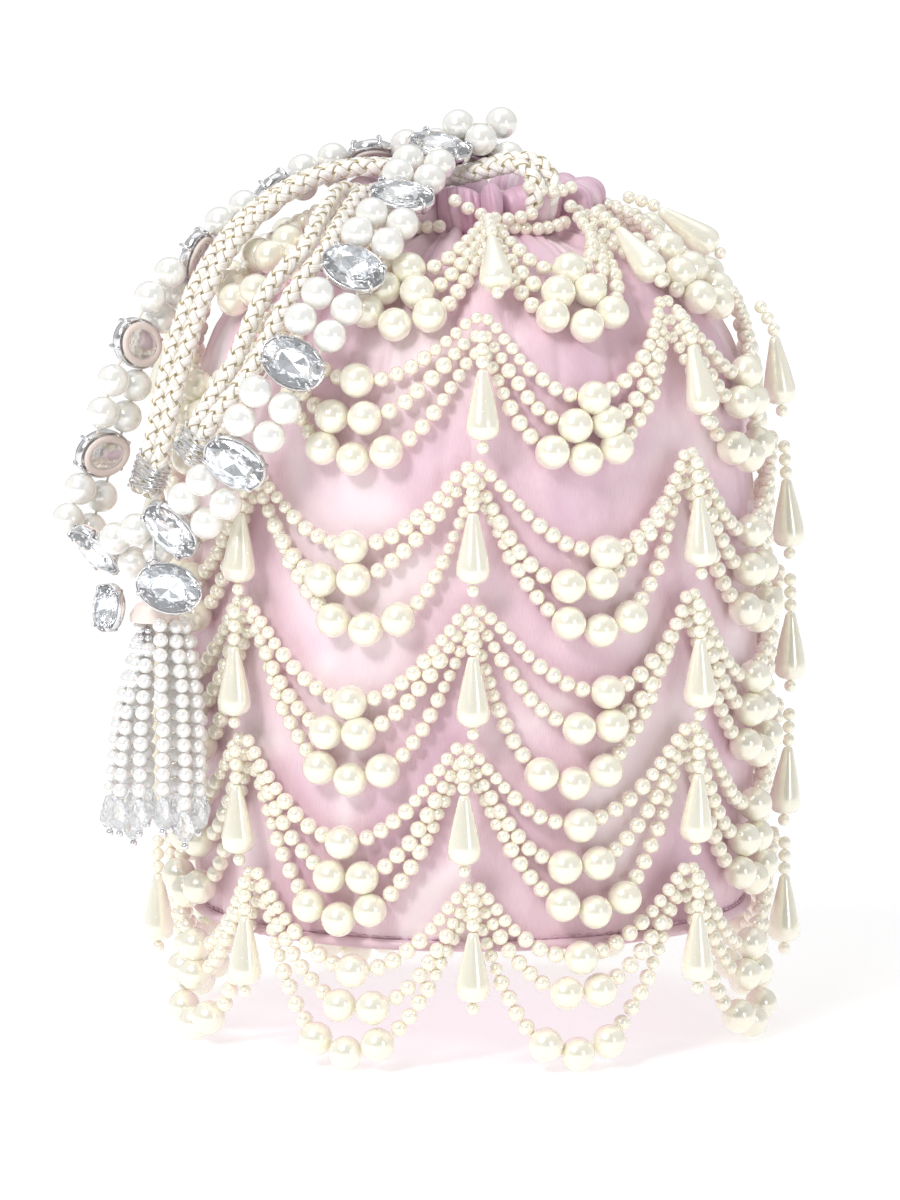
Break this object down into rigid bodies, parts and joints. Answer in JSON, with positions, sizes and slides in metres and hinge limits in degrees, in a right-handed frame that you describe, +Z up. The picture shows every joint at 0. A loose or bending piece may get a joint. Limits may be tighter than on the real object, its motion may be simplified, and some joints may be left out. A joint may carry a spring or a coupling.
{
  "type": "evening bag",
  "caption": "Round-based satin drawstring evening bag covered in pearl swags with hanging drops, with a jewelled wrist loop and a bead tassel.",
  "frame": {"origin": "on the axis of the round base, at the level of the lowest fringe pearls that the bag stands on", "axes": "+Z up, front of the bag faces -Y, the wrist loop hangs over the -X side"},
  "size_m": [0.2196, 0.1974, 0.2692],
  "materials": {
    "satin": "pale pink duchess satin, fine vertical weave",
    "lining": "thin matte lining cloth",
    "board": "stiff bag board",
    "seed_pearl": "ivory imitation pearl, small",
    "ivory_pearl": "ivory imitation pearl with a warm rim",
    "white_pearl": "cool white imitation pearl",
    "crystal": "clear faceted crystal",
    "silver": "bright silver plate",
    "nude_leather": "nude pink backing leather",
    "thread": "nylon beading thread",
    "braid": "cream satin braid flecked with gold thread"
  },
  "bodies": {
    "pouch": {"base_board": "board", "base_cover": "satin", "base_lining": "lining", "base_piping": "satin", "body_lining": "lining", "drawstring_channel": "satin", "front_cord_neck_run": "braid", "mouth_frill": "satin", "mouth_pearl_trim": "ivory_pearl", "neck_drawstrings": "braid", "outer_back_panel": "satin", "outer_front_panel": "satin", "rear_cord_neck_run": "braid", "tier1_drops": "ivory_pearl", "tier1_large_pearls": "ivory_pearl", "tier1_strings": "seed_pearl", "tier2_drops": "ivory_pearl", "tier2_large_pearls": "ivory_pearl", "tier2_strings": "seed_pearl", "tier3_drops": "ivory_pearl", "tier3_large_pearls": "ivory_pearl", "tier3_strings": "seed_pearl", "tier4_drops": "ivory_pearl", "tier4_large_pearls": "ivory_pearl", "tier4_strings": "seed_pearl", "tier5_drops": "ivory_pearl", "tier5_large_pearls": "ivory_pearl", "tier5_strings": "seed_pearl", "tier6_large_pearls": "ivory_pearl", "tier6_strings": "seed_pearl"},
    "wrist_loop": {"strap_pearls": "white_pearl", "strap_threads": "thread", "stone_settings": "silver", "oval_crystals": "crystal", "front_cord_a": "braid", "front_cord_b": "braid", "rear_cord_a": "braid", "rear_cord_b": "braid", "front_wire_binding": "silver", "rear_wire_binding": "silver", "tassel_eyelet": "silver"},
    "tassel_link": {"tassel_ring": "silver"},
    "tassel": {"tassel_cap": "nude_leather", "tassel_strands": "white_pearl", "tassel_crystal_drops": "crystal", "tassel_seed_beads": "silver"},
    "fringe_drop_1_body": {"fringe_drop_1": "ivory_pearl"},
    "fringe_drop_2_body": {"fringe_drop_2": "ivory_pearl"},
    "fringe_drop_3_body": {"fringe_drop_3": "ivory_pearl"},
    "fringe_drop_4_body": {"fringe_drop_4": "ivory_pearl"},
    "fringe_drop_5_body": {"fringe_drop_5": "ivory_pearl"},
    "fringe_drop_6_body": {"fringe_drop_6": "ivory_pearl"},
    "fringe_drop_7_body": {"fringe_drop_7": "ivory_pearl"},
    "fringe_drop_8_body": {"fringe_drop_8": "ivory_pearl"}
  },
  "joints": [
    {"name": "wrist_loop_swing", "type": "hinge", "parent": "pouch", "child": "wrist_loop", "pos_m": [0.012, 0, 0.2545], "axis": [0, 1, 0], "range_deg": [0, 45]},
    {"name": "tassel_link_turn", "type": "hinge", "parent": "wrist_loop", "child": "tassel_link", "pos_m": [-0.0905, -0.058, 0.141], "axis": [0, 1, 0], "range_deg": [-45, 0]},
    {"name": "tassel_swing", "type": "hinge", "parent": "tassel_link", "child": "tassel", "pos_m": [-0.0905, -0.058, 0.1346], "axis": [0, 1, 0], "range_deg": [0, 20]},
    {"name": "fringe_drop_1_swing", "type": "hinge", "parent": "pouch", "child": "fringe_drop_1_body", "pos_m": [0.0005, -0.09258, 0.05154], "axis": [-1, -0.0054, 0], "range_deg": [0, 60]},
    {"name": "fringe_drop_2_swing", "type": "hinge", "parent": "pouch", "child": "fringe_drop_2_body", "pos_m": [0.06475, -0.06617, 0.05254], "axis": [-0.7147, -0.6994, 0], "range_deg": [0, 60]},
    {"name": "fringe_drop_3_swing", "type": "hinge", "parent": "pouch", "child": "fringe_drop_3_body", "pos_m": [0.09257, -0.00147, 0.05214], "axis": [-0.0158, -0.9999, 0], "range_deg": [0, 60]},
    {"name": "fringe_drop_4_swing", "type": "hinge", "parent": "pouch", "child": "fringe_drop_4_body", "pos_m": [0.06604, 0.06488, 0.05256], "axis": [0.7008, -0.7134, 0], "range_deg": [0, 60]},
    {"name": "fringe_drop_5_swing", "type": "hinge", "parent": "pouch", "child": "fringe_drop_5_body", "pos_m": [0.00094, 0.09257, 0.0519], "axis": [0.9999, -0.0101, 0], "range_deg": [0, 60]},
    {"name": "fringe_drop_6_swing", "type": "hinge", "parent": "pouch", "child": "fringe_drop_6_body", "pos_m": [-0.06563, 0.06529, 0.05231], "axis": [0.7052, 0.709, 0], "range_deg": [0, 60]},
    {"name": "fringe_drop_7_swing", "type": "hinge", "parent": "pouch", "child": "fringe_drop_7_body", "pos_m": [-0.09258, 0.00017, 0.05236], "axis": [0.0018, 1, 0], "range_deg": [0, 60]},
    {"name": "fringe_drop_8_swing", "type": "hinge", "parent": "pouch", "child": "fringe_drop_8_body", "pos_m": [-0.06475, -0.06617, 0.05154], "axis": [-0.7147, 0.6994, 0], "range_deg": [0, 60]}
  ],
  "couplings": [
    {"joint": "tassel_link_turn", "follows": "wrist_loop_swing", "ratio": -1}
  ]
}
